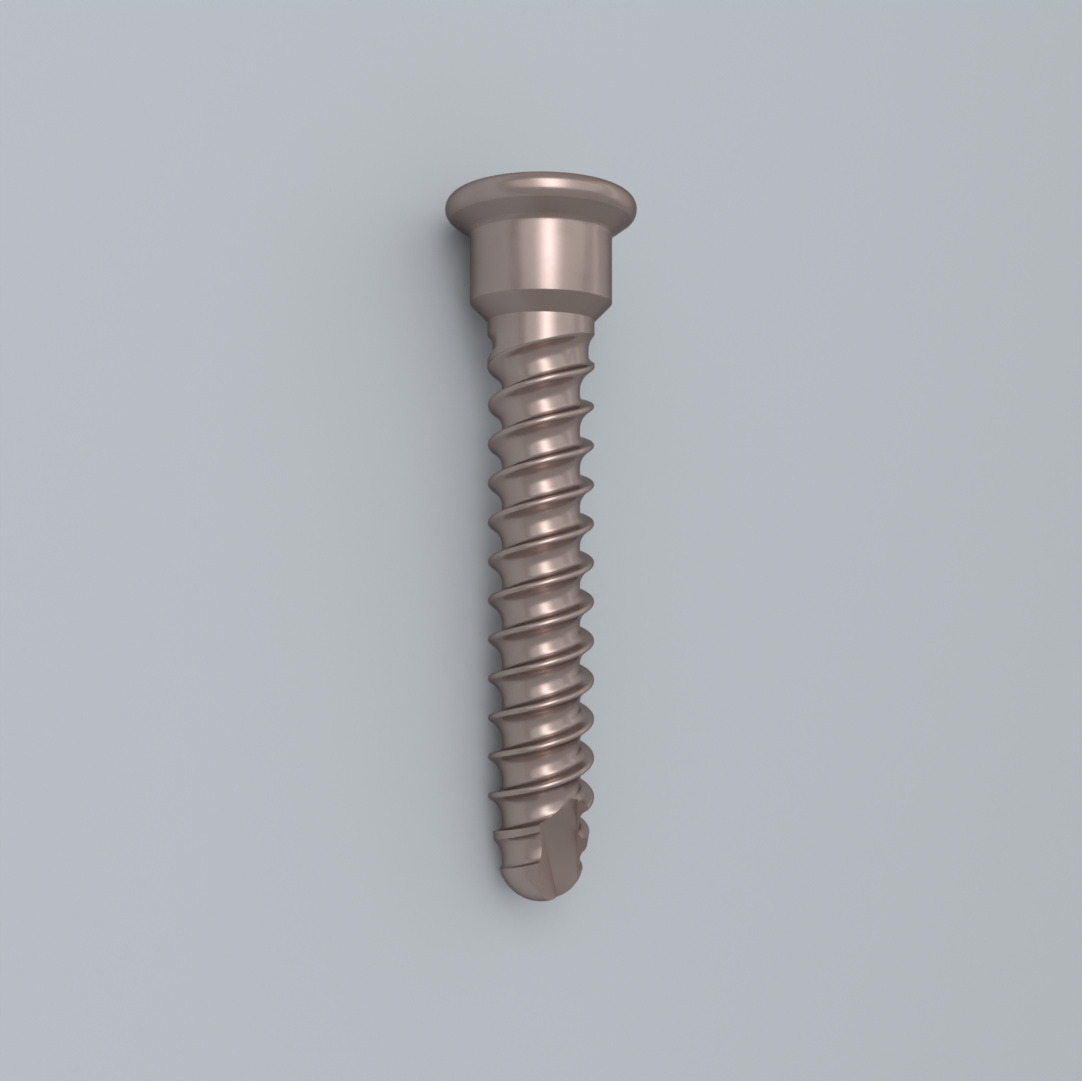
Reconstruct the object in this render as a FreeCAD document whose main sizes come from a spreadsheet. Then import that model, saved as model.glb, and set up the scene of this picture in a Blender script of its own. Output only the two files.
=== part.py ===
"""Bone compression screw: one turned piece with a raised collar under a thin, wide head,
a double-start bone thread, two self-tapping flutes and a hexagon socket in the head.

The screw is drawn upright, tip at the origin and head up, and is then laid down on the rim
of its head and on the thread near its tip, as it comes to rest on a table. Millimetres.
"""
import FreeCAD, Part
import math
import MeshPart
import os
import Sketcher

NODE = "bone_screw"
Vector = FreeCAD.Vector

# Driving dimensions: alias, value in millimetres or degrees, and what it measures.
SIZES = (
    ("length", 29.58, "tip to top of head"),
    ("head_diameter", 8.07, "over the rounded rim"),
    ("rim_radius", 0.56, "rounding of the rim, over and under"),
    ("underside_angle", 35.3, "underside of the head, from square to the axis"),
    ("underside_fillet", 0.44, "underside of the head to the collar"),
    ("collar_diameter", 5.99, "plain collar under the head"),
    ("collar_depth", 4.485, "top of head to the lower edge of the collar"),
    ("shoulder_angle", 45.0, "cone from the collar to the neck, from the axis"),
    ("neck_diameter", 4.52, "plain neck above the thread"),
    ("neck_land", 0.638, "shoulder to the first full groove"),
    ("neck_blend", 1.3, "length over which the neck narrows to the crests"),
    ("thread_diameter", 4.48, "over the crests"),
    ("core_diameter", 3.294, "at the bottom of the grooves"),
    ("crest_pitch", 1.644, "from one crest to the next"),
    ("thread_starts", 2, "grooves wound side by side"),
    ("crest_width", 0.204, "land on top of a crest"),
    ("pressure_flank", 8.1, "flank that faces the head, from square to the axis"),
    ("pressure_root", 0.28, "root rounding at that flank"),
    ("leading_flank", 33.7, "flank that faces the tip, from square to the axis"),
    ("leading_root", 0.90, "root rounding at that flank"),
    ("runout_turn", 85.0, "turn over which a groove fades out at the neck"),
    ("runout_start", -43.0, "bearing where the first groove starts to fade"),
    ("tip_radius", 1.83, "round nose"),
    ("tip_taper", 10.0, "cone that the crests follow behind the nose, from the axis"),
    ("flute_count", 2, "flutes round the tip"),
    ("flute_reach", 1.50, "how far the floor of a flute runs to the side"),
    ("cut_face", 50.0, "direction of a flute's cut face, from the front"),
    ("end_height", 4.51, "tip to the end of a flute"),
    ("end_wall", -5.0, "direction of the flute's wall there, from the front"),
    ("end_corner_side", -0.20, "wall and floor meet this far to the side of the axis"),
    ("end_corner_depth", 2.80, "and this far in front of it"),
    ("end_edge_depth", 0.80, "other edge of the floor, in front of the axis"),
    ("waist_height", 2.10, "tip to the middle section of a flute, sizes as above"),
    ("waist_wall", -20.0, "wall"),
    ("waist_corner_side", 0.30, "corner, to the side"),
    ("waist_corner_depth", 0.80, "corner, in front"),
    ("waist_edge_depth", 0.36, "edge of the floor, in front"),
    ("nose_height", -0.30, "section past the nose, sizes as above"),
    ("nose_wall", -25.0, "wall"),
    ("nose_corner_side", 0.74, "corner, to the side"),
    ("nose_corner_depth", 0.0, "corner, in front"),
    ("nose_edge_depth", 0.30, "edge of the floor, in front"),
    ("hex_flats", 3.5, "across flats of the socket"),
    ("hex_depth", 2.8, "depth of the socket's flats"),
    ("hex_drill_rise", 0.6, "drill point below the flats"),
    ("hex_mouth", 4.3, "diameter of the lead-in at the mouth"),
)

FLUTE_SECTIONS = ("end", "waist", "nose")
PRESSURE_ROOT_CHORDS = 2
LEADING_ROOT_CHORDS = 3
RUNOUT_CLEARANCE = 0.04
CUTTER_REACH = 0.5
NOSE_CLEARANCE = 0.3
WALL_REACH = 1.7
FACE_REACH = 1.3
OUTER_CORNER = (1.9, 3.9)
REST_FACETS = 0.01
REST_STEPS = (1.0, 0.1)
REST_SEARCH = 90

# Height of the top of the first full groove, from the tip.
FULL_HEIGHT_TEXT = (
    "Sizes.length - Sizes.collar_depth - Sizes.neck_land"
    " - (Sizes.collar_diameter - Sizes.neck_diameter) / 2 / tan(Sizes.shoulder_angle * 1 deg)"
)


def rad(degrees):
    """Angle in radians."""
    return math.radians(degrees)


def make_sheet(doc):
    """Write the driving dimensions into a spreadsheet and return it."""
    sheet = doc.addObject("Spreadsheet::Sheet", "Sizes")
    for row, (alias, value, meaning) in enumerate(SIZES, start=1):
        sheet.set(f"A{row}", meaning)
        sheet.set(f"B{row}", str(value))
        sheet.setAlias(f"B{row}", alias)
    doc.recompute()
    return sheet


class Outline:
    """A sketch in one plane of the body, drawn edge by edge and bound to the sheet."""

    def __init__(self, body, role, name):
        plane = next(item for item in body.Origin.OriginFeatures if item.Role == role)
        self.sketch = body.newObject("Sketcher::SketchObject", name)
        self.sketch.AttachmentSupport = [(plane, "")]
        self.sketch.MapMode = "FlatFace"

    def line(self, start, end):
        """Add a straight edge."""
        return self.sketch.addGeometry(Part.LineSegment(Vector(*start, 0), Vector(*end, 0)))

    def arc(self, centre, radius, first, last):
        """Add an arc, counter-clockwise from the first to the last angle in degrees."""
        circle = Part.Circle(Vector(*centre, 0), Vector(0, 0, 1), radius)
        return self.sketch.addGeometry(Part.ArcOfCircle(circle, rad(first), rad(last)))

    def chords(self, centre, radius, first, last, count):
        """Draw equal chords along an arc, and leave the arc itself as a guide."""
        guide = self.arc(centre, radius, first, last)
        self.sketch.toggleConstruction(guide)
        turns = [first + (last - first) * step / count for step in range(count + 1)]
        corners = [(centre[0] + radius * math.cos(rad(a)), centre[1] + radius * math.sin(rad(a))) for a in turns]
        chain = [self.line(here, there) for here, there in zip(corners, corners[1:])]
        for chord, following in zip(chain, chain[1:]):
            self.join((chord, 2, following, 1))
            self.fix("PointOnObject", chord, 2, guide)
            self.fix("Equal", chord, following)
        return guide, chain

    def join(self, *pairs):
        """Make ends meet: each pair is (edge, end, edge, end)."""
        for pair in pairs:
            self.sketch.addConstraint(Sketcher.Constraint("Coincident", *pair))

    def smooth(self, *pairs):
        """Make ends meet and run on tangentially."""
        for pair in pairs:
            self.sketch.addConstraint(Sketcher.Constraint("Tangent", *pair))

    def fix(self, kind, *place):
        """Add a constraint that has no size of its own."""
        self.sketch.addConstraint(Sketcher.Constraint(kind, *place))

    def size(self, kind, place, value, expression):
        """Add a dimension and bind it to the sheet."""
        if kind == "Angle":
            value = rad(value)
        index = self.sketch.addConstraint(Sketcher.Constraint(kind, *place, value))
        self.sketch.setExpression(f"Constraints[{index}]", expression)

    def polygon(self, corners):
        """Close straight edges round the corners; each corner is (x, y, x text, y text)."""
        edges = []
        for here, there in zip(corners, corners[1:] + corners[:1]):
            edges.append(self.line(here[:2], there[:2]))
        for edge, following in zip(edges, edges[1:] + edges[:1]):
            self.join((edge, 2, following, 1))
        for edge, (x, y, x_text, y_text) in zip(edges, corners):
            self.place(edge, x, x_text, "DistanceX")
            self.place(edge, y, y_text, "DistanceY")
        return edges

    def place(self, edge, value, text, kind):
        """Hold the start of an edge at a signed distance from the origin."""
        if abs(value) < 1e-9:
            self.fix("PointOnObject", edge, 1, -2 if kind == "DistanceX" else -1)
        else:
            self.size(kind, (-1, 1, edge, 1), value, text)


def draw_blank(body, size):
    """Draw half the turned outline, tip to head top, without its thread."""
    length, rim = size.length, size.rim_radius
    collar, neck = size.collar_diameter / 2, size.neck_diameter / 2
    thread, nose = size.thread_diameter / 2, size.tip_radius
    taper, under = size.tip_taper, size.underside_angle
    nose_end = (nose * math.cos(rad(taper)), nose * (1 - math.sin(rad(taper))))
    cone_end = nose_end[1] + (thread - nose_end[0]) / math.tan(rad(taper))
    collar_end = length - size.collar_depth
    shoulder = collar_end - (collar - neck) / math.tan(rad(size.shoulder_angle))
    blend_top = shoulder - size.neck_land
    rim_centre = (size.head_diameter / 2 - rim, length - rim)
    rim_start = (rim_centre[0] + rim * math.sin(rad(under)), rim_centre[1] - rim * math.cos(rad(under)))
    fillet = size.underside_fillet
    fillet_x = collar + fillet
    run = rim_start[0] + fillet * math.sin(rad(under)) - fillet_x
    fillet_y = rim_start[1] - run * math.tan(rad(under)) - fillet * math.cos(rad(under))
    fillet_end = (fillet_x - fillet * math.sin(rad(under)), fillet_y + fillet * math.cos(rad(under)))

    drawing = Outline(body, "XZ_Plane", "blank_outline")
    nose_arc = drawing.arc((0, nose), nose, -90, -taper)
    taper_line = drawing.line(nose_end, (thread, cone_end))
    thread_line = drawing.line((thread, cone_end), (thread, blend_top - size.neck_blend))
    blend_line = drawing.line((thread, blend_top - size.neck_blend), (neck, blend_top))
    neck_line = drawing.line((neck, blend_top), (neck, shoulder))
    shoulder_line = drawing.line((neck, shoulder), (collar, collar_end))
    collar_line = drawing.line((collar, collar_end), (collar, fillet_y))
    fillet_arc = drawing.arc((fillet_x, fillet_y), fillet, 90 + under, 180)
    under_line = drawing.line(fillet_end, rim_start)
    rim_arc = drawing.arc(rim_centre, rim, under - 90, 90)
    top_line = drawing.line((rim_centre[0], length), (0, length))
    axis_line = drawing.line((0, length), (0, 0))

    drawing.join(
        (taper_line, 2, thread_line, 1), (thread_line, 2, blend_line, 1), (blend_line, 2, neck_line, 1),
        (neck_line, 2, shoulder_line, 1), (shoulder_line, 2, collar_line, 1), (top_line, 2, axis_line, 1),
        (axis_line, 2, nose_arc, 1), (axis_line, 2, -1, 1),
    )
    drawing.smooth(
        (nose_arc, 2, taper_line, 1), (collar_line, 2, fillet_arc, 2), (fillet_arc, 1, under_line, 1),
        (under_line, 2, rim_arc, 1), (rim_arc, 2, top_line, 1),
    )
    for edge in (thread_line, neck_line, collar_line, axis_line):
        drawing.fix("Vertical", edge)
    drawing.fix("Horizontal", top_line)
    drawing.fix("PointOnObject", nose_arc, 3, -2)
    drawing.size("Radius", (nose_arc,), nose, "Sizes.tip_radius")
    drawing.size("Angle", (taper_line,), 90 - taper, "90 deg - Sizes.tip_taper * 1 deg")
    drawing.size("DistanceX", (-1, 1, thread_line, 1), thread, "Sizes.thread_diameter / 2")
    drawing.size("DistanceY", (thread_line, 2, neck_line, 1), size.neck_blend, "Sizes.neck_blend")
    drawing.size("DistanceY", (neck_line, 1, neck_line, 2), size.neck_land, "Sizes.neck_land")
    drawing.size("DistanceX", (-1, 1, neck_line, 1), neck, "Sizes.neck_diameter / 2")
    drawing.size("Angle", (shoulder_line,), 90 - size.shoulder_angle, "90 deg - Sizes.shoulder_angle * 1 deg")
    drawing.size("DistanceX", (-1, 1, collar_line, 1), collar, "Sizes.collar_diameter / 2")
    drawing.size("DistanceY", (-1, 1, collar_line, 1), collar_end, "Sizes.length - Sizes.collar_depth")
    drawing.size("Radius", (fillet_arc,), fillet, "Sizes.underside_fillet")
    drawing.size("Angle", (under_line,), under, "Sizes.underside_angle * 1 deg")
    drawing.size("Radius", (rim_arc,), rim, "Sizes.rim_radius")
    drawing.size("DistanceX", (-1, 1, rim_arc, 3), rim_centre[0], "Sizes.head_diameter / 2 - Sizes.rim_radius")
    drawing.size("DistanceY", (-1, 1, axis_line, 1), length, "Sizes.length")
    return drawing.sketch


def groove_foot(size):
    """Height of the crest under the first full groove, in the plane where it starts."""
    collar_end = size.length - size.collar_depth
    slope = math.tan(rad(size.shoulder_angle))
    shoulder = collar_end - (size.collar_diameter - size.neck_diameter) / 2 / slope
    return shoulder - size.neck_land - size.crest_pitch


def draw_groove(body, size, start):
    """Draw the section of one groove, from crest to crest, in a plane through the axis."""
    thread, core, pitch = size.thread_diameter / 2, size.core_diameter / 2, size.crest_pitch
    pressure, leading = size.pressure_flank, size.leading_flank
    foot, reach = groove_foot(size), thread + CUTTER_REACH
    low_mouth = foot + size.crest_width / 2 - CUTTER_REACH * math.tan(rad(pressure))
    high_mouth = foot + pitch - size.crest_width / 2 + CUTTER_REACH * math.tan(rad(leading))

    def flank_end(turn, root, mouth, side):
        """Inner end of a flank and the height where its root meets the core."""
        x = core + root - root * math.sin(rad(turn))
        y = mouth + side * (reach - x) * math.tan(rad(turn))
        return (x, y), y + side * root * math.cos(rad(turn))

    low_end, low_root = flank_end(pressure, size.pressure_root, low_mouth, 1)
    high_end, high_root = flank_end(leading, size.leading_root, high_mouth, -1)

    drawing = Outline(body, "XZ_Plane", f"groove_section_{start + 1}")
    drawing.sketch.setExpression(
        "AttachmentOffset",
        "placement(vector(0; 0; 0); rotation(vector(0; 1; 0);"
        f" Sizes.runout_start + 360 * {start} / Sizes.thread_starts))",
    )
    low_flank = drawing.line((reach, low_mouth), low_end)
    low_guide, low_chords = drawing.chords(
        (core + size.pressure_root, low_root), size.pressure_root, 180, 270 - pressure, PRESSURE_ROOT_CHORDS
    )
    core_line = drawing.line((core, low_root), (core, high_root))
    high_guide, high_chords = drawing.chords(
        (core + size.leading_root, high_root), size.leading_root, 90 + leading, 180, LEADING_ROOT_CHORDS
    )
    high_flank = drawing.line(high_end, (reach, high_mouth))
    back_line = drawing.line((reach, high_mouth), (reach, low_mouth))

    drawing.smooth(
        (low_flank, 2, low_guide, 2), (low_guide, 1, core_line, 1),
        (core_line, 2, high_guide, 2), (high_guide, 1, high_flank, 1),
    )
    drawing.join(
        (low_flank, 2, low_chords[-1], 2), (low_chords[0], 1, core_line, 1), (core_line, 2, high_chords[-1], 2),
        (high_chords[0], 1, high_flank, 1), (high_flank, 2, back_line, 1), (back_line, 2, low_flank, 1),
    )
    for edge in (core_line, back_line):
        drawing.fix("Vertical", edge)
    foot_text = f"{FULL_HEIGHT_TEXT} - Sizes.crest_pitch"
    low_text = f"{foot_text} + Sizes.crest_width / 2 - {CUTTER_REACH} * tan(Sizes.pressure_flank * 1 deg)"
    high_text = (
        f"{foot_text} + Sizes.crest_pitch - Sizes.crest_width / 2"
        f" + {CUTTER_REACH} * tan(Sizes.leading_flank * 1 deg)"
    )
    drawing.size("DistanceX", (-1, 1, low_flank, 1), reach, f"Sizes.thread_diameter / 2 + {CUTTER_REACH}")
    drawing.size("DistanceY", (-1, 1, low_flank, 1), low_mouth, low_text)
    drawing.size("DistanceY", (-1, 1, high_flank, 2), high_mouth, high_text)
    drawing.size("Angle", (low_flank,), 180 - pressure, "180 deg - Sizes.pressure_flank * 1 deg")
    drawing.size("Angle", (high_flank,), leading, "Sizes.leading_flank * 1 deg")
    drawing.size("Radius", (low_guide,), size.pressure_root, "Sizes.pressure_root")
    drawing.size("Radius", (high_guide,), size.leading_root, "Sizes.leading_root")
    drawing.size("DistanceX", (-1, 1, core_line, 1), core, "Sizes.core_diameter / 2")
    return drawing.sketch


def wind_groove(body, section, name, height_text, cone_text, downwards):
    """Cut the groove's section along a right-handed helix, with an opening cone if asked."""
    helix = body.newObject("PartDesign::SubtractiveHelix", name)
    helix.Profile = section
    helix.ReferenceAxis = (section, ["V_Axis"])
    helix.Mode = "pitch-height-angle"
    helix.LeftHanded = False
    helix.Reversed = downwards
    helix.Refine = False
    helix.setExpression("Pitch", "Sizes.crest_pitch * Sizes.thread_starts")
    helix.setExpression("Height", height_text)
    if cone_text:
        helix.setExpression("Angle", cone_text)
    body.Tip = helix
    return helix


def wind_thread(body, size):
    """Wind the grooves side by side: each fades out at the neck and runs off at the tip."""
    rise_text = "Sizes.crest_pitch * Sizes.thread_starts * Sizes.runout_turn / 360"
    depth_text = f"((Sizes.neck_diameter - Sizes.core_diameter) / 2 + {RUNOUT_CLEARANCE})"
    starts = range(int(size.thread_starts))
    sections = [draw_groove(body, size, start) for start in starts]
    for number, section in enumerate(sections, start=1):
        cone_text = f"atan({depth_text} / ({rise_text}))"
        wind_groove(body, section, f"runout_{number}", rise_text, cone_text, False)
    for number, section in enumerate(sections, start=1):
        wind_groove(body, section, f"groove_{number}", f"{FULL_HEIGHT_TEXT} + {NOSE_CLEARANCE}", "", True)


def draw_flute_section(body, size, number, section):
    """Draw one section of a flute: wall, floor and cut face, open to the outside."""
    wall, face = getattr(size, f"{section}_wall"), size.cut_face
    corner = (getattr(size, f"{section}_corner_side"), -getattr(size, f"{section}_corner_depth"))
    edge = (size.flute_reach, -getattr(size, f"{section}_edge_depth"))
    corner_text = (f"Sizes.{section}_corner_side", f"-Sizes.{section}_corner_depth")
    edge_text = ("Sizes.flute_reach", f"-Sizes.{section}_edge_depth")

    def outward(start, start_text, turn, turn_name, reach):
        """A point outwards from another, and the same point as text for the sheet."""
        point = (start[0] + reach * math.sin(rad(turn)), start[1] - reach * math.cos(rad(turn)))
        text = (
            f"{start_text[0]} + {reach} * sin(Sizes.{turn_name} * 1 deg)",
            f"{start_text[1]} - {reach} * cos(Sizes.{turn_name} * 1 deg)",
        )
        return (*point, *text)

    drawing = Outline(body, "XY_Plane", f"flute_{number + 1}_{section}")
    turn_text = f"rotation(vector(0; 0; 1); 360 * {number} / Sizes.flute_count)"
    place_text = f"placement(vector(0; 0; Sizes.{section}_height); {turn_text})"
    drawing.sketch.setExpression("AttachmentOffset", place_text)
    drawing.polygon([
        (*corner, *corner_text),
        (*edge, *edge_text),
        outward(edge, edge_text, face, "cut_face", FACE_REACH),
        (OUTER_CORNER[0], -OUTER_CORNER[1], f"{OUTER_CORNER[0]}", f"{-OUTER_CORNER[1]}"),
        outward(corner, corner_text, wall, f"{section}_wall", WALL_REACH),
    ])
    return drawing.sketch


def cut_flutes(body, size):
    """Cut the self-tapping flutes, each through three sections, evenly round the tip."""
    for number in range(int(size.flute_count)):
        sections = [draw_flute_section(body, size, number, section) for section in FLUTE_SECTIONS]
        flute = body.newObject("PartDesign::SubtractiveLoft", f"flute_{number + 1}")
        flute.Profile = sections[0]
        flute.Sections = sections[1:]
        flute.Ruled = False
        flute.Refine = False
        body.Tip = flute


def cut_socket(body, size):
    """Cut the hexagon socket into the head, with its drill point and lead-in."""
    drawing = Outline(body, "XY_Plane", "hexagon")
    drawing.sketch.setExpression("AttachmentOffset", "placement(vector(0; 0; Sizes.length); rotation(0; 0; 0))")
    corner = size.hex_flats / math.sqrt(3)
    corners = []
    for step in range(6):
        turn = 60 * step
        x, y = corner * math.cos(rad(turn)), corner * math.sin(rad(turn))
        text = f"Sizes.hex_flats / sqrt(3) * cos({turn} deg)", f"Sizes.hex_flats / sqrt(3) * sin({turn} deg)"
        corners.append((x, y, *text))
    drawing.polygon(corners)
    flats = body.newObject("PartDesign::Pocket", "hexagon_flats")
    flats.Profile = drawing.sketch
    flats.setExpression("Length", "Sizes.hex_depth")
    body.Tip = flats

    top, flat = size.length, size.hex_flats / 2
    floor, mouth = top - size.hex_depth, size.hex_mouth / 2
    relief = Outline(body, "XZ_Plane", "socket_relief")
    relief.polygon([
        (0, floor, "0", "Sizes.length - Sizes.hex_depth"),
        (0, floor - size.hex_drill_rise, "0", "Sizes.length - Sizes.hex_depth - Sizes.hex_drill_rise"),
        (flat, floor, "Sizes.hex_flats / 2", "Sizes.length - Sizes.hex_depth"),
    ])
    relief.polygon([
        (0, top, "0", "Sizes.length"),
        (0, top - (mouth - flat), "0", "Sizes.length - (Sizes.hex_mouth - Sizes.hex_flats) / 2"),
        (flat, top - (mouth - flat), "Sizes.hex_flats / 2", "Sizes.length - (Sizes.hex_mouth - Sizes.hex_flats) / 2"),
        (mouth, top, "Sizes.hex_mouth / 2", "Sizes.length"),
    ])
    groove = body.newObject("PartDesign::Groove", "socket_turning")
    groove.Profile = relief.sketch
    groove.ReferenceAxis = (relief.sketch, ["V_Axis"])
    groove.Angle = 360
    body.Tip = groove
    return groove


def support(points, middle, roll):
    """Tilt of the axis and height of the middle, lying on the side at this bearing from the back."""
    across, along = math.sin(rad(roll)), math.cos(rad(roll))
    hull = []
    for x, y, z in points:
        reach = x * across + y * along
        while len(hull) > 1:
            (za, ra), (zb, rb) = hull[-2], hull[-1]
            if (rb - ra) * (z - za) > (reach - ra) * (zb - za):
                break
            hull.pop()
        hull.append((z, reach))
    for (za, ra), (zb, rb) in zip(hull, hull[1:]):
        if za <= middle <= zb:
            tilt = math.atan2(rb - ra, zb - za)
            return math.degrees(tilt), (ra + (rb - ra) * (middle - za) / (zb - za)) * math.cos(tilt)
    raise RuntimeError("the screw finds no rest")


def resting_pose(shape):
    """Roll and tilt at which the screw comes to rest: where its centre of mass lies lowest."""
    mesh = MeshPart.meshFromShape(Shape=shape, LinearDeflection=REST_FACETS, AngularDeflection=0.5)
    points = sorted(((point.x, point.y, point.z) for point in mesh.Points), key=lambda point: point[2])
    middle = shape.Solids[0].CenterOfMass.z
    roll, width = 0.0, REST_SEARCH
    for step in REST_STEPS:
        count = round(width / step)
        rolls = [roll + step * number for number in range(-count, count + 1)]
        roll = min(rolls, key=lambda bearing: support(points, middle, bearing)[1])
        width = step
    return roll, support(points, middle, roll)[0]


def lay_down(body):
    """Lay the screw on its head rim and tip thread, head towards +Y, centred on the origin."""
    roll, tilt = resting_pose(body.Shape)
    turn = FreeCAD.Rotation(Vector(1, 0, 0), tilt - 90) * FreeCAD.Rotation(Vector(0, 0, 1), roll)
    body.Placement = FreeCAD.Placement(Vector(0, 0, 0), turn)
    box = body.Shape.optimalBoundingBox(True, False)
    body.Placement = FreeCAD.Placement(Vector(-box.Center.x, -box.Center.y, -box.ZMin), turn)
    return roll, tilt


def build():
    """Build the document and return it with the screw's body."""
    doc = FreeCAD.newDocument("bone_compression_screw")
    size = make_sheet(doc)
    body = doc.addObject("PartDesign::Body", NODE)
    body.Label = NODE

    blank = body.newObject("PartDesign::Revolution", "blank")
    blank.Profile = draw_blank(body, size)
    blank.ReferenceAxis = (blank.Profile[0], ["V_Axis"])
    blank.Angle = 360
    doc.recompute()
    wind_thread(body, size)
    cut_flutes(body, size)
    cut_socket(body, size)
    doc.recompute()
    return doc, body


def check(doc, body):
    """Stop if any object failed or the screw isn't one sound solid."""
    for item in doc.Objects:
        if "Invalid" in item.State or "Error" in item.State:
            raise RuntimeError(f"{item.Label} failed: {item.State}")
    shape = body.Shape
    if shape.isNull() or not shape.isValid() or len(shape.Solids) != 1:
        raise RuntimeError("the screw is not one sound solid")


def main():
    """Build, check, lay down and write the screw."""
    doc, body = build()
    check(doc, body)
    volumes = []
    for item in body.Group:
        if item.isDerivedFrom("PartDesign::Feature"):
            volumes.append(f"{item.Label} {item.Shape.Volume:.3f}")
    print("volumes in cubic millimetres:", ", ".join(volumes))
    roll, tilt = lay_down(body)
    print(f"rests at roll {roll:.1f} and tilt {tilt:.3f} degrees, placed at {body.Placement.Base}")
    print(f"box {body.Shape.optimalBoundingBox(True, False)}")
    os.makedirs("parts", exist_ok=True)
    body.Shape.exportStep(os.path.join("parts", f"{body.Label}.step"))


main()
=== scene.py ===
"""Bone compression screw, lying on a pale table: its fine mesh, its titanium and its picture.

The screw is modelled upright in millimetres, tip at the origin and head up, and is then laid
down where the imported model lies, in metres.
"""
import logging
import math
from dataclasses import dataclass
from enum import Enum

import bmesh
import bpy
from mathutils import Matrix, Vector


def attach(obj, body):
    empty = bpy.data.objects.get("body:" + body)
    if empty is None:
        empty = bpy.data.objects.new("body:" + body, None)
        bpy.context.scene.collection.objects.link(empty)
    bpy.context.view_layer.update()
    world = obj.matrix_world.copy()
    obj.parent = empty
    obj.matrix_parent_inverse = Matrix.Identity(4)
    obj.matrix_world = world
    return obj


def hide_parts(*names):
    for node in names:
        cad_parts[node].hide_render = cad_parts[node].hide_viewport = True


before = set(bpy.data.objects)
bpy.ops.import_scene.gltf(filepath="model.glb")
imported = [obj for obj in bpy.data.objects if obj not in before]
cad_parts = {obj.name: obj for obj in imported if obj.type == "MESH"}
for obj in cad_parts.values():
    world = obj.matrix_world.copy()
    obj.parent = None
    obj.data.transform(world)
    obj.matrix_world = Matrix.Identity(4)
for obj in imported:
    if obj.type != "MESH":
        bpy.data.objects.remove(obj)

LOG = logging.getLogger("bone_screw")
MILLIMETRE = 0.001
PHOTO_WIDTH = 1082
SENSOR_WIDTH = 36.0
Point = tuple[float, float]
Colour = tuple[float, float, float, float]


class BooleanKind(Enum):
    """How one solid works on another."""

    KEEP_SHARED = "INTERSECT"
    CUT_AWAY = "DIFFERENCE"


class Finish(Enum):
    """Material slots of the screw, in order: the turned finish, darker titanium on downward cone faces that
    is painted shade, the end-milled finish with painted shade in its colour, and the side-milled finish.
    """

    TURNED = 0
    CONES_PAINTED_SHADE = 1
    END_MILLED_AND_PAINTED_SHADE = 2
    SIDE_MILLED = 3


def deselect_all() -> None:
    """Leave edit mode and deselect every object."""
    if bpy.context.object and bpy.context.object.mode != "OBJECT":
        bpy.ops.object.mode_set(mode="OBJECT")
    bpy.ops.object.select_all(action="DESELECT")


def pick(piece: bpy.types.Object) -> None:
    """Make a piece the only selected one.

    Args:
        piece: The object to work on next.
    """
    deselect_all()
    piece.select_set(True)
    bpy.context.view_layer.objects.active = piece


def edit(piece: bpy.types.Object) -> bmesh.types.BMesh:
    """Open a piece in edit mode.

    Args:
        piece: The object to open.

    Returns:
        Its edit mesh.
    """
    if piece.mode != "EDIT":
        pick(piece)
        bpy.ops.object.mode_set(mode="EDIT")
    return bmesh.from_edit_mesh(piece.data)


def draw_wire(name: str, points: list[Point]) -> bpy.types.Object:
    """Draw an open outline in the plane of X and Z, by pulling one point from place to place.

    Args:
        name: Name of the new object.
        points: Distance from the axis and height of each point, in order.

    Returns:
        The new object, left in edit mode.
    """
    deselect_all()
    bpy.ops.mesh.primitive_plane_add(size=1.0, location=(0.0, 0.0, 0.0))
    wire = bpy.context.object
    wire.name = name
    mesh = edit(wire)
    bpy.ops.mesh.select_all(action="SELECT")
    bpy.ops.mesh.merge(type="CENTER")
    mesh = edit(wire)
    (x, z), *others = points
    bpy.ops.transform.translate(value=Vector((x, 0.0, z)) - mesh.verts[:][0].co)
    for new_x, new_z in others:
        step = (new_x - x, 0.0, new_z - z)
        bpy.ops.mesh.extrude_vertices_move(TRANSFORM_OT_translate={"value": step})
        x, z = new_x, new_z
    return wire


def arc(centre: Point, radius: float, first: float, last: float, steps: int) -> list[Point]:
    """Points along an arc.

    Args:
        centre: Middle of the arc.
        radius: Its radius.
        first: Direction of the first point, in degrees.
        last: Direction of the last point, in degrees.
        steps: Number of chords.

    Returns:
        The points, first to last.
    """
    turns = [math.radians(first + (last - first) * step / steps) for step in range(steps + 1)]
    return [(centre[0] + radius * math.cos(turn), centre[1] + radius * math.sin(turn)) for turn in turns]


def spin_round(wire: bpy.types.Object, steps: int, weld: float) -> None:
    """Spin an outline a full turn round the upright axis into a closed skin.

    Args:
        wire: The outline, in edit mode.
        steps: Number of steps in the turn.
        weld: Distance within which points are merged.
    """
    bpy.ops.mesh.select_all(action="SELECT")
    bpy.ops.mesh.spin(steps=steps, angle=math.tau, center=(0.0, 0.0, 0.0), axis=(0.0, 0.0, 1.0))
    bpy.ops.mesh.select_all(action="SELECT")
    bpy.ops.mesh.remove_doubles(threshold=weld)
    bpy.ops.mesh.normals_make_consistent(inside=False)
    pick(wire)


def combine(piece: bpy.types.Object, tool: bpy.types.Object, kind: BooleanKind) -> None:
    """Work one solid on another and throw the tool away.

    Args:
        piece: The solid that stays.
        tool: The solid that works on it; its faces bring their finish along.
        kind: What is done.
    """
    for material in piece.data.materials:
        tool.data.materials.append(material)
    pick(piece)
    step = piece.modifiers.new("combine", "BOOLEAN")
    step.operation = kind.value
    step.solver = "EXACT"
    step.object = tool
    bpy.ops.object.modifier_apply(modifier=step.name)
    bpy.data.objects.remove(tool, do_unlink=True)


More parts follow.
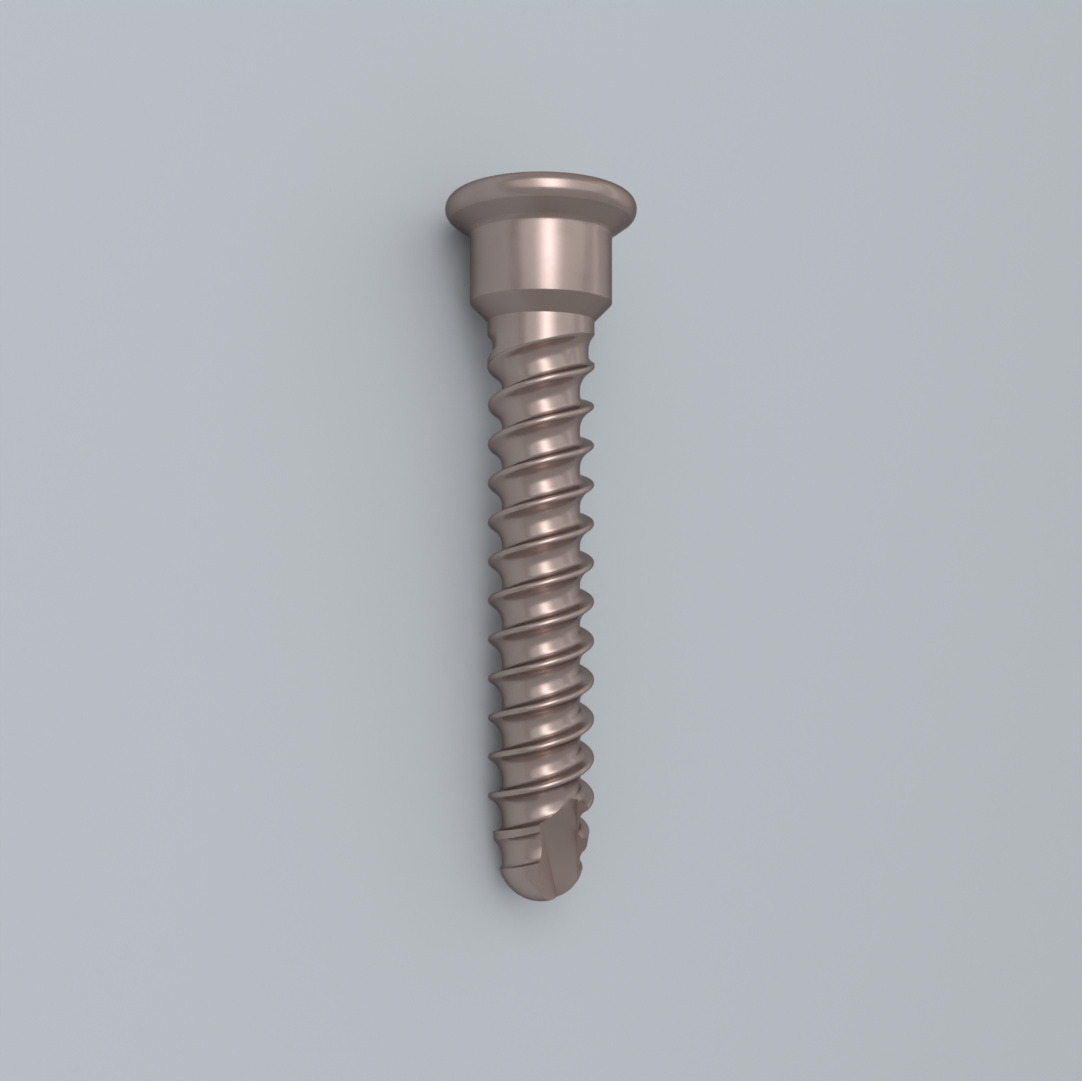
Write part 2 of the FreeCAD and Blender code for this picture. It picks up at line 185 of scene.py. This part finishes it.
@dataclass(frozen=True)
class Placement:
    """Where the screw lies: rolled on its axis, tilted onto its rim, and moved, in millimetres."""

    roll: float
    tilt: float
    base: tuple[float, float, float]

    def turn(self) -> Matrix:
        """Rotation from upright to lying."""
        lay = Matrix.Rotation(math.radians(self.tilt - 90.0), 4, "X")
        return lay @ Matrix.Rotation(math.radians(self.roll), 4, "Z")

    def matrix(self) -> Matrix:
        """Change from upright millimetres to lying metres."""
        move = Matrix.Translation(Vector(self.base) * MILLIMETRE)
        return move @ self.turn() @ Matrix.Scale(MILLIMETRE, 4)


@dataclass
class Blank:
    """The turned outline of the screw, in millimetres."""

    length: float = 29.58
    head_radius: float = 4.035
    rim_radius: float = 0.56
    underside_angle: float = 35.3
    underside_fillet: float = 0.44
    collar_radius: float = 2.995
    collar_edge: float = 25.095
    collar_break: float = 0.025
    shoulder_angle: float = 45.0
    neck_radius: float = 2.26
    nose_radius: float = 1.83
    nose_taper: float = 10.0
    cone_slope: float = 0.3
    nose_steps: int = 40
    fillet_steps: int = 8
    rim_steps: int = 24
    round_steps: int = 192
    weld: float = 0.0005

    def shoulder_height(self) -> float:
        """Height where the neck meets the shoulder."""
        step = self.collar_radius - self.neck_radius
        return self.collar_edge - step / math.tan(math.radians(self.shoulder_angle))

    def outline(self) -> list[Point]:
        """Half of the turned outline, from the tip to the middle of the head's top."""
        under = math.radians(self.underside_angle)
        rim_x, rim_z = self.head_radius - self.rim_radius, self.length - self.rim_radius
        fillet_x = self.collar_radius + self.underside_fillet
        start_x = rim_x + self.rim_radius * math.sin(under)
        start_z = rim_z - self.rim_radius * math.cos(under)
        run = start_x + self.underside_fillet * math.sin(under) - fillet_x
        fillet_z = start_z - run * math.tan(under) - self.underside_fillet * math.cos(under)
        nose = arc((0.0, self.nose_radius), self.nose_radius, -90.0, -self.nose_taper, self.nose_steps)
        end_x, end_z = nose[-1]
        taper_z = end_z + (self.neck_radius - end_x) / math.tan(math.radians(self.nose_taper))
        points = [(0.0, 0.0), *nose[1:]]
        points += [(self.neck_radius, taper_z), (self.neck_radius, self.shoulder_height())]
        points += [(self.collar_radius - self.collar_break, self.collar_edge - self.collar_break)]
        points += [(self.collar_radius, self.collar_edge + self.collar_break)]
        fillet_end = 90.0 + self.underside_angle
        points += arc((fillet_x, fillet_z), self.underside_fillet, 180.0, fillet_end, self.fillet_steps)
        points += arc((rim_x, rim_z), self.rim_radius, self.underside_angle - 90.0, 90.0, self.rim_steps)
        points += [(0.0, self.length)]
        return points

    def build(self) -> bpy.types.Object:
        """Spin the outline into a solid, and mark the downward-facing cone faces under the head and below
        the collar with a darker titanium, which is painted shade.
        """
        blank = draw_wire("blank", self.outline())
        spin_round(blank, self.round_steps, self.weld)
        under = math.radians(self.underside_angle)
        rim_start = self.head_radius - self.rim_radius * (1.0 - math.sin(under))
        # Faces that lean down under the head and at the shoulder get the darker cone titanium: painted
        # shade, not a different finish.
        for face in blank.data.polygons:
            above_thread = face.center.z > self.collar_edge - self.collar_radius
            leans_down = face.normal.z < -self.cone_slope
            if above_thread and leans_down and face.center.xy.length < rim_start:
                face.material_index = Finish.CONES_PAINTED_SHADE.value
        return blank


@dataclass
class BoneThread:
    """The double-start bone thread: grooves side by side that fade out at the neck, in millimetres."""

    crest_radius: float = 2.24
    core_radius: float = 1.647
    pitch: float = 1.644
    starts: int = 2
    crest_flat: float = 0.016
    crest_round: float = 0.134
    pressure_flank: float = 8.1
    pressure_root: float = 0.28
    leading_flank: float = 33.7
    leading_root: float = 0.90
    neck_land: float = 0.66
    runout_bearing: float = -43.0
    runout_turn: float = 85.0
    runout_depth: float = 0.653
    outer_limit: float = 2.60
    turn_steps: int = 96
    turns_up: int = 1
    turns_down: int = 9
    barrel_radius: float = 6.0
    barrel_top: float = 32.0
    foot: float = -0.6
    low_crest_steps: int = 6
    high_crest_steps: int = 5
    pressure_root_steps: int = 7
    leading_root_steps: int = 8
    row_slack: float = 0.01
    least_turn: float = 0.02
    cut_slack: float = 0.00001
    level_slack: float = 0.0001
    weld: float = 0.002

    def groove_outline(self, low: float) -> list[Point]:
        """One groove from the middle of a crest to the middle of the next.

        Args:
            low: Height of the lower crest's middle.

        Returns:
            Distance from the axis and height of each point, from low to high.
        """
        crest_x = self.crest_radius - self.crest_round
        low_z, high_z = low + self.crest_flat / 2, low + self.pitch - self.crest_flat / 2
        pressure_end, leading_start = 90.0 - self.pressure_flank, self.leading_flank - 90.0
        low_crest = arc((crest_x, low_z), self.crest_round, 0.0, pressure_end, self.low_crest_steps)
        high_crest = arc((crest_x, high_z), self.crest_round, leading_start, 0.0, self.high_crest_steps)
        low_root = self.root(
            low_crest[-1], self.pressure_flank, self.pressure_root, 1.0, self.pressure_root_steps,
        )
        high_root = self.root(
            high_crest[0], self.leading_flank, self.leading_root, -1.0, self.leading_root_steps,
        )
        first, last = (self.crest_radius, low), (self.crest_radius, low + self.pitch)
        return [first, *low_crest, *low_root, *reversed(high_root), *high_crest, last]

    def root(self, top: Point, flank: float, radius: float, side: float, steps: int) -> list[Point]:
        """Rounding between a flank and the core.

        Args:
            top: Outer end of the flank.
            flank: The flank's angle from square to the axis.
            radius: Radius of the rounding.
            side: 1 where the flank faces up, -1 where it faces down.
            steps: Number of chords.

        Returns:
            The points, from the flank to the core.
        """
        slope = math.radians(flank)
        end_x = self.core_radius + radius - radius * math.sin(slope)
        end_z = top[1] + side * (top[0] - end_x) * math.tan(slope)
        centre = (self.core_radius + radius, end_z + side * radius * math.cos(slope))
        if side > 0:
            return arc(centre, radius, 270.0 - flank, 180.0, steps)
        return arc(centre, radius, 90.0 + flank, 180.0, steps)

    def build(self, neck_top: float) -> bpy.types.Object:
        """Wind the grooves into a threaded bar that is wider than the screw above its neck.

        Args:
            neck_top: Height where the neck ends.

        Returns:
            The bar, closed.
        """
        lead = self.pitch * self.starts
        low = neck_top - self.neck_land - self.pitch
        bar = draw_wire("thread_bar", self.groove_outline(low + lead * self.turns_up))
        pick(bar)
        winding = bar.modifiers.new("winding", "SCREW")
        winding.axis = "Z"
        winding.angle = -math.tau
        winding.screw_offset = -lead
        winding.iterations = self.turns_up + self.turns_down
        winding.steps = winding.render_steps = self.turn_steps
        winding.use_merge_vertices = False
        bpy.ops.object.modifier_apply(modifier=winding.name)
        edit(bar)
        self.repeat_starts()
        bpy.ops.mesh.select_all(action="SELECT")
        bpy.ops.mesh.remove_doubles(threshold=self.weld)
        self.fade_out(bar, low)
        self.close(bar, neck_top)
        pick(bar)
        return bar

    def repeat_starts(self) -> None:
        """Turn the first groove to its bearing and copy it once for each further start."""
        bpy.ops.mesh.select_all(action="SELECT")
        spin = -math.radians(self.runout_bearing)
        bpy.ops.transform.rotate(value=spin, orient_axis="Z", center_override=(0.0, 0.0, 0.0))
        for _ in range(self.starts - 1):
            bpy.ops.mesh.duplicate()
            turn = math.tau / self.starts
            bpy.ops.transform.rotate(value=turn, orient_axis="Z", center_override=(0.0, 0.0, 0.0))

    def fade_out(self, bar: bpy.types.Object, low: float) -> None:
        """Let each groove move outwards past its start, until it has left the neck.

        Args:
            bar: The wound skin, in edit mode.
            low: Height of the lower crest where the first groove starts to fade.
        """
        mesh = edit(bar)
        for point in mesh.verts:
            x, y, z = point.co
            reach = math.hypot(x, y)
            past = (math.degrees(math.atan2(y, x)) - self.runout_bearing + self.row_slack) % 360.0
            row = math.floor((z - low) / self.pitch - self.starts * past / 360.0 + self.row_slack)
            turn = past + 360.0 / self.starts * row
            if turn > self.least_turn:
                further = min(reach + self.runout_depth * turn / self.runout_turn, self.outer_limit)
                point.co.x *= further / reach
                point.co.y *= further / reach
        bmesh.update_edit_mesh(bar.data)

    def close(self, bar: bpy.types.Object, neck_top: float) -> None:
        """Cut both ragged ends square and set a wide barrel on top.

        Args:
            bar: The wound skin, in edit mode.
            neck_top: Height of the upper cut.
        """
        for height, outer in ((self.foot, False), (neck_top, True)):
            bpy.ops.mesh.select_all(action="SELECT")
            bpy.ops.mesh.bisect(
                plane_co=(0.0, 0.0, height), plane_no=(0.0, 0.0, 1.0), use_fill=True,
                clear_inner=not outer, clear_outer=outer, threshold=self.cut_slack,
            )
        bpy.ops.mesh.select_all(action="DESELECT")
        mesh = edit(bar)
        for face in mesh.faces:
            face.select_set(all(abs(point.co.z - neck_top) < self.level_slack for point in face.verts))
        bmesh.update_edit_mesh(bar.data)
        wide = self.barrel_radius / self.outer_limit
        bpy.ops.mesh.extrude_region_move(TRANSFORM_OT_translate={"value": (0.0, 0.0, 0.0)})
        bpy.ops.transform.resize(value=(wide, wide, 1.0), center_override=(0.0, 0.0, neck_top))
        rise = self.barrel_top - neck_top
        bpy.ops.mesh.extrude_region_move(TRANSFORM_OT_translate={"value": (0.0, 0.0, rise)})
        bpy.ops.mesh.select_all(action="SELECT")
        bpy.ops.mesh.normals_make_consistent(inside=False)


@dataclass(frozen=True)
class FluteSection:
    """One level of a flute: wall direction in degrees, and its corners in millimetres."""

    height: float
    wall: float
    corner_side: float
    corner_depth: float
    edge_depth: float


@dataclass
class Flute:
    """The self-tapping flutes at the tip: a wall, a floor and a cut face, in millimetres."""

    reach: float = 1.50
    cut_face: float = 50.0
    wall_reach: float = 1.7
    face_reach: float = 1.3
    outer_corner: Point = (1.9, 3.9)
    levels: int = 24
    count: int = 2
    floor_match: float = 0.05
    sections: tuple[FluteSection, ...] = (
        FluteSection(-0.30, -25.0, 0.74, 0.0, 0.30),
        FluteSection(2.10, -20.0, 0.30, 0.80, 0.36),
        FluteSection(4.51, -5.0, -0.20, 2.80, 0.80),
    )

    def between(self, height: float, size: str) -> float:
        """A size at a height, on a smooth curve through the three sections.

        Args:
            height: Height above the tip.
            size: Name of the section's size.

        Returns:
            The size at that height.
        """
        total = 0.0
        for section in self.sections:
            weight = 1.0
            for other in self.sections:
                if other is not section:
                    weight *= (height - other.height) / (section.height - other.height)
            total += weight * getattr(section, size)
        return total

    def corners(self, height: float) -> list[Vector]:
        """The five corners of the cutter at a height."""
        turn, face = math.radians(self.between(height, "wall")), math.radians(self.cut_face)
        side, depth = self.between(height, "corner_side"), self.between(height, "corner_depth")
        outer_side, outer_depth = self.outer_corner
        corner = Vector((side, -depth, height))
        edge = Vector((self.reach, -self.between(height, "edge_depth"), height))
        wall_end = corner + Vector((math.sin(turn), -math.cos(turn), 0.0)) * self.wall_reach
        face_end = edge + Vector((math.sin(face), -math.cos(face), 0.0)) * self.face_reach
        return [corner, edge, face_end, Vector((outer_side, -outer_depth, height)), wall_end]

    def finish(self, middle: Vector) -> Finish:
        """Finish that a cutter's face leaves: the tool mills the floor with its end, the rest with its side.
        The floor's titanium is also darker, which is painted shade.

        Args:
            middle: The middle of the face.

        Returns:
            The finish it leaves.
        """
        corner, edge, *_ = self.corners(middle.z)
        on_floor = (middle - (corner + edge) / 2).length < self.floor_match
        return Finish.END_MILLED_AND_PAINTED_SHADE if on_floor else Finish.SIDE_MILLED

    def build(self, number: int) -> bpy.types.Object:
        """Pull the cutter up level by level.

        Args:
            number: Which flute, from 0.

        Returns:
            The closed cutter.
        """
        deselect_all()
        bpy.ops.mesh.primitive_circle_add(vertices=5, radius=1.0, fill_type="NGON")
        cutter = bpy.context.object
        cutter.name = f"flute_cutter_{number}"
        mesh = edit(cutter)
        bottom, top = self.sections[0].height, self.sections[-1].height
        for step in range(self.levels + 1):
            height = bottom + (top - bottom) * step / self.levels
            if step:
                bpy.ops.mesh.extrude_region_move(TRANSFORM_OT_translate={"value": (0.0, 0.0, 0.0)})
            mesh = edit(cutter)
            face = next(face for face in mesh.faces if face.select)
            for point, place in zip(face.verts, self.corners(height)):
                point.co = place
            bmesh.update_edit_mesh(cutter.data)
        for face in edit(cutter).faces:
            face.material_index = self.finish(face.calc_center_median()).value
        bpy.ops.mesh.select_all(action="SELECT")
        turn = math.tau * number / self.count
        if number:
            bpy.ops.transform.rotate(value=turn, orient_axis="Z", center_override=(0.0, 0.0, 0.0))
        bpy.ops.mesh.normals_make_consistent(inside=False)
        pick(cutter)
        return cutter


@dataclass
class Socket:
    """The hexagon socket in the head, with its drill point and lead-in, in millimetres."""

    flats: float = 3.5
    depth: float = 2.8
    drill_rise: float = 0.6
    mouth: float = 4.3
    top: float = 29.58
    skin: float = 0.5
    drill_land: float = 0.3
    round_steps: int = 96
    weld: float = 0.0005

    def build(self) -> list[bpy.types.Object]:
        """Make the hexagon and the turned lead-in and drill point.

        Returns:
            The closed cutters.
        """
        deselect_all()
        floor = self.top - self.depth
        bpy.ops.mesh.primitive_cylinder_add(
            vertices=6, radius=self.flats / math.sqrt(3.0), depth=self.depth + self.skin,
            location=(0.0, 0.0, floor + (self.depth + self.skin) / 2),
        )
        hexagon = bpy.context.object
        bpy.ops.object.transform_apply(location=True, rotation=True, scale=True)
        edit(hexagon)
        bpy.ops.mesh.select_all(action="SELECT")
        bpy.ops.transform.rotate(value=math.pi / 6, orient_axis="Z", center_override=(0.0, 0.0, 0.0))
        pick(hexagon)
        # The socket takes the end-milled titanium, and with it a darker colour that is painted shade.
        for face in hexagon.data.polygons:
            face.material_index = Finish.END_MILLED_AND_PAINTED_SHADE.value
        half, mouth = self.flats / 2, self.mouth / 2
        lead_in = draw_wire("lead_in", [
            (0.0, self.top - mouth), (mouth, self.top), (mouth + self.skin, self.top + self.skin),
            (0.0, self.top + self.skin),
        ])
        spin_round(lead_in, self.round_steps, self.weld)
        drill = draw_wire("drill_point", [
            (0.0, floor - self.drill_rise), (half, floor), (half, floor + self.drill_land),
            (0.0, floor + self.drill_land),
        ])
        spin_round(drill, self.round_steps, self.weld)
        return [hexagon, lead_in, drill]


@dataclass(frozen=True)
class Titanium:
    """Titanium alloy as one tool leaves it: warm grey and satin, with marks that hardly show. The darker
    colours of the cone and end-milled copies are painted shade.
    """

    name: str
    roughness: float
    roughness_swing: float
    mark_scale: tuple[float, float, float]
    mark_strength: float
    colour: Colour = (0.455, 0.362, 0.332, 1.0)
    worn_colour: Colour = (0.42, 0.330, 0.300, 1.0)
    edge_tint: Colour = (0.32, 0.32, 0.32, 1.0)
    bare_metal: float = 0.88
    mark_detail: float = 3.0
    mark_depth: float = 0.01 * MILLIMETRE
    mark_range: Point = (0.3, 0.7)
    mottle_scale: float = 0.9
    mottle_detail: float = 4.0
    mottle_range: Point = (0.45, 0.75)

    def build(self, placement: Placement) -> bpy.types.Material:
        """Make the node material.

        Args:
            placement: Where the screw lies, so that the marks follow its axis.

        Returns:
            The material.
        """
        material = bpy.data.materials.new(self.name)
        material.use_nodes = True
        nodes, links = material.node_tree.nodes, material.node_tree.links
        shader = nodes["Principled BSDF"]
        shader.inputs["Metallic"].default_value = self.bare_metal
        shader.inputs["Specular Tint"].default_value = self.edge_tint
        place = nodes.new("ShaderNodeTexCoord")
        upright = nodes.new("ShaderNodeMapping")
        back = placement.turn().inverted()
        upright.inputs["Rotation"].default_value = back.to_euler("XYZ")
        upright.inputs["Location"].default_value = back @ (-Vector(placement.base))
        upright.inputs["Scale"].default_value = (1.0 / MILLIMETRE,) * 3
        links.new(place.outputs["Object"], upright.inputs["Vector"])

        stretch = nodes.new("ShaderNodeVectorMath")
        stretch.operation = "MULTIPLY"
        stretch.inputs[1].default_value = self.mark_scale
        links.new(upright.outputs["Vector"], stretch.inputs[0])
        marks = nodes.new("ShaderNodeTexNoise")
        marks.inputs["Scale"].default_value = 1.0
        marks.inputs["Detail"].default_value = self.mark_detail
        links.new(stretch.outputs["Vector"], marks.inputs["Vector"])

        mottle = nodes.new("ShaderNodeTexNoise")
        mottle.inputs["Scale"].default_value = self.mottle_scale
        mottle.inputs["Detail"].default_value = self.mottle_detail
        links.new(upright.outputs["Vector"], mottle.inputs["Vector"])

        tint = nodes.new("ShaderNodeMix")
        tint.data_type = "RGBA"
        tint.inputs["A"].default_value = self.colour
        tint.inputs["B"].default_value = self.worn_colour
        fade = nodes.new("ShaderNodeMapRange")
        fade.inputs["From Min"].default_value, fade.inputs["From Max"].default_value = self.mottle_range
        links.new(mottle.outputs["Fac"], fade.inputs["Value"])
        links.new(fade.outputs["Result"], tint.inputs["Factor"])
        links.new(tint.outputs["Result"], shader.inputs["Base Color"])

        gloss = nodes.new("ShaderNodeMapRange")
        gloss.inputs["From Min"].default_value, gloss.inputs["From Max"].default_value = self.mark_range
        gloss.inputs["To Min"].default_value = self.roughness - self.roughness_swing
        gloss.inputs["To Max"].default_value = self.roughness + self.roughness_swing
        links.new(marks.outputs["Fac"], gloss.inputs["Value"])
        links.new(gloss.outputs["Result"], shader.inputs["Roughness"])

        bump = nodes.new("ShaderNodeBump")
        bump.inputs["Strength"].default_value = self.mark_strength
        bump.inputs["Distance"].default_value = self.mark_depth
        links.new(marks.outputs["Fac"], bump.inputs["Height"])
        links.new(bump.outputs["Normal"], shader.inputs["Normal"])
        return material


@dataclass
class Screw:
    """The whole screw: blank, thread, flutes and socket in one piece."""

    blank: Blank
    thread: BoneThread
    flute: Flute
    socket: Socket
    placement: Placement
    turned: Titanium = Titanium("turned_titanium", 0.25, 0.02, (0.5, 0.5, 22.0), 0.01)
    # Darker colour on the downward-facing cone faces: painted shade.
    painted_shade_cones: Titanium = Titanium(
        "cone_titanium_painted_shade", 0.27, 0.005, (0.5, 0.5, 6.0), 0.0,
        colour=(0.37, 0.292, 0.268, 1.0), worn_colour=(0.35, 0.275, 0.25, 1.0),
    )
    # Rougher end-milled titanium. Its darker colour is painted shade in the flute floor and the socket.
    end_milled_and_painted_shade: Titanium = Titanium(
        "end_milled_titanium_painted_shade", 0.38, 0.02, (18.0, 18.0, 0.8), 0.01,
        colour=(0.385, 0.308, 0.283, 1.0), worn_colour=(0.37, 0.292, 0.267, 1.0),
    )
    side_milled: Titanium = Titanium("side_milled_titanium", 0.60, 0.02, (18.0, 18.0, 0.8), 0.02)
    smooth_angle: float = 28.0

    def build(self) -> bpy.types.Object:
        """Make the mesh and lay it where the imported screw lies.

        Returns:
            The finished piece.
        """
        screw = self.thread.build(self.blank.shoulder_height())
        screw.name = screw.data.name = "titanium_screw"
        screw.data.materials.clear()
        for finish in (self.turned, self.painted_shade_cones, self.end_milled_and_painted_shade, self.side_milled):
            screw.data.materials.append(finish.build(self.placement))
        combine(screw, self.blank.build(), BooleanKind.KEEP_SHARED)
        for number in range(self.flute.count):
            combine(screw, self.flute.build(number), BooleanKind.CUT_AWAY)
        for cutter in self.socket.build():
            combine(screw, cutter, BooleanKind.CUT_AWAY)
        pick(screw)
        bpy.ops.object.shade_smooth_by_angle(angle=math.radians(self.smooth_angle))
        screw.matrix_world = self.placement.matrix()
        bpy.ops.object.transform_apply(location=True, rotation=True, scale=True)
        return screw


@dataclass(frozen=True)
class Lamp:
    """A soft lamp, placed and measured in degrees as seen from the screw, its distance in metres."""

    name: str
    aside: float
    above: float
    width: float
    height: float
    brightness: float
    distance: float = 0.30

    def side(self, angle: float) -> float:
        """Length that spans an angle at the lamp's distance."""
        return 2.0 * self.distance * math.tan(math.radians(angle / 2.0))


@dataclass
class Studio:
    """Camera, lamps, world and table, arranged round the lying screw."""

    placement: Placement
    camera_place: tuple[float, float, float] = (0.0, -48.90, 15.14)
    middle: tuple[float, float, float] = (0.0, 0.0, 15.0)
    focal_pixels: float = 1159.0
    nearest_seen: float = 0.001
    table_size: float = 3.0
    table_roughness: float = 0.9
    table_gloss: float = 0.1
    table_colour: Colour = (0.53, 0.566, 0.602, 1.0)
    world_colour: Colour = (1.0, 1.0, 1.0, 1.0)
    world_strength: float = 0.40
    lamps: tuple[Lamp, ...] = (
        Lamp("strip_middle", 12.0, 16.0, 13.0, 64.0, 1.00, 0.30),
        Lamp("strip_soft", 12.0, 16.0, 25.0, 66.0, 0.75, 0.31),
        Lamp("strip_wide", 13.0, 16.0, 38.0, 68.0, 0.55, 0.32),
        Lamp("soft_panel", 20.0, 16.0, 104.0, 72.0, 0.42, 0.34),
        Lamp("side_panel", 103.0, 16.0, 60.0, 72.0, 0.17, 0.36),
        Lamp("right_strip", 96.0, 16.0, 9.0, 60.0, 0.35, 0.30),
    )

    def seen_from_camera(self, aside: float, above: float) -> Vector:
        """Direction from the screw, given as seen from the camera.

        Args:
            aside: Degrees round the screw's axis, to the right.
            above: Degrees towards the head.

        Returns:
            The direction in the scene.
        """
        turn, rise = math.radians(aside), math.radians(above)
        reach = math.cos(rise)
        upright = Vector((math.sin(turn) * reach, -math.cos(turn) * reach, math.sin(rise)))
        return (self.placement.turn() @ upright).normalized()

    def place_camera(self) -> None:
        """Put the camera where the picture was taken from."""
        lens = bpy.data.cameras.new("camera")
        lens.sensor_width = SENSOR_WIDTH
        lens.lens = self.focal_pixels * SENSOR_WIDTH / PHOTO_WIDTH
        lens.clip_start = self.nearest_seen
        camera = bpy.data.objects.new("camera", lens)
        bpy.context.collection.objects.link(camera)
        aim = self.placement.turn() @ Matrix.Rotation(math.pi / 2, 4, "X")
        spot = self.placement.matrix() @ Vector(self.camera_place)
        camera.matrix_world = Matrix.Translation(spot) @ aim
        bpy.context.scene.camera = camera

    def hang_lamps(self) -> None:
        """Hang the soft lamps and turn them to the screw."""
        centre = self.placement.matrix() @ Vector(self.middle)
        for lamp in self.lamps:
            light = bpy.data.lights.new(lamp.name, "AREA")
            light.shape = "RECTANGLE"
            light.size, light.size_y = lamp.side(lamp.width), lamp.side(lamp.height)
            light.energy = math.pi * light.size * light.size_y * lamp.brightness
            holder = bpy.data.objects.new(lamp.name, light)
            bpy.context.collection.objects.link(holder)
            away = self.seen_from_camera(lamp.aside, lamp.above)
            long_side = self.placement.turn() @ Vector((0.0, 0.0, 1.0))
            across = long_side.cross(away).normalized()
            axes = Matrix((across, away.cross(across), away)).transposed().to_4x4()
            holder.matrix_world = Matrix.Translation(centre + away * lamp.distance) @ axes

    def lay_table(self) -> bpy.types.Object:
        """Lay the pale table under the screw.

        Returns:
            The table.
        """
        deselect_all()
        bpy.ops.mesh.primitive_plane_add(size=self.table_size, location=(0.0, 0.0, 0.0))
        table = bpy.context.object
        table.name = "table"
        paper = bpy.data.materials.new("pale_table")
        paper.use_nodes = True
        shader = paper.node_tree.nodes["Principled BSDF"]
        shader.inputs["Base Color"].default_value = self.table_colour
        shader.inputs["Roughness"].default_value = self.table_roughness
        shader.inputs["Specular IOR Level"].default_value = self.table_gloss
        table.data.materials.append(paper)
        return table

    def light_world(self) -> None:
        """Fill the room with an even light."""
        world = bpy.data.worlds.new("room")
        world.use_nodes = True
        background = world.node_tree.nodes["Background"]
        background.inputs["Color"].default_value = self.world_colour
        background.inputs["Strength"].default_value = self.world_strength
        bpy.context.scene.world = world

    def build(self) -> None:
        """Set the whole scene round the screw."""
        self.lay_table()
        self.light_world()
        self.hang_lamps()
        self.place_camera()
        bpy.context.scene.view_settings.view_transform = "Standard"


def main() -> None:
    """Build the screw, dress it and set the scene."""
    logging.basicConfig(level=logging.INFO, format="%(name)s: %(message)s")
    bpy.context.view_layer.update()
    placement = Placement(roll=-40.6, tilt=4.3506, base=(-0.00027027, -14.87779028, 1.82755918))
    screw = Screw(Blank(), BoneThread(), Flute(), Socket(), placement)
    piece = screw.build()
    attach(piece, "root")
    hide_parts("bone_screw")
    LOG.info("%s: %d faces", piece.name, len(piece.data.polygons))
    Studio(placement).build()


if __name__ == "__main__":
    main()
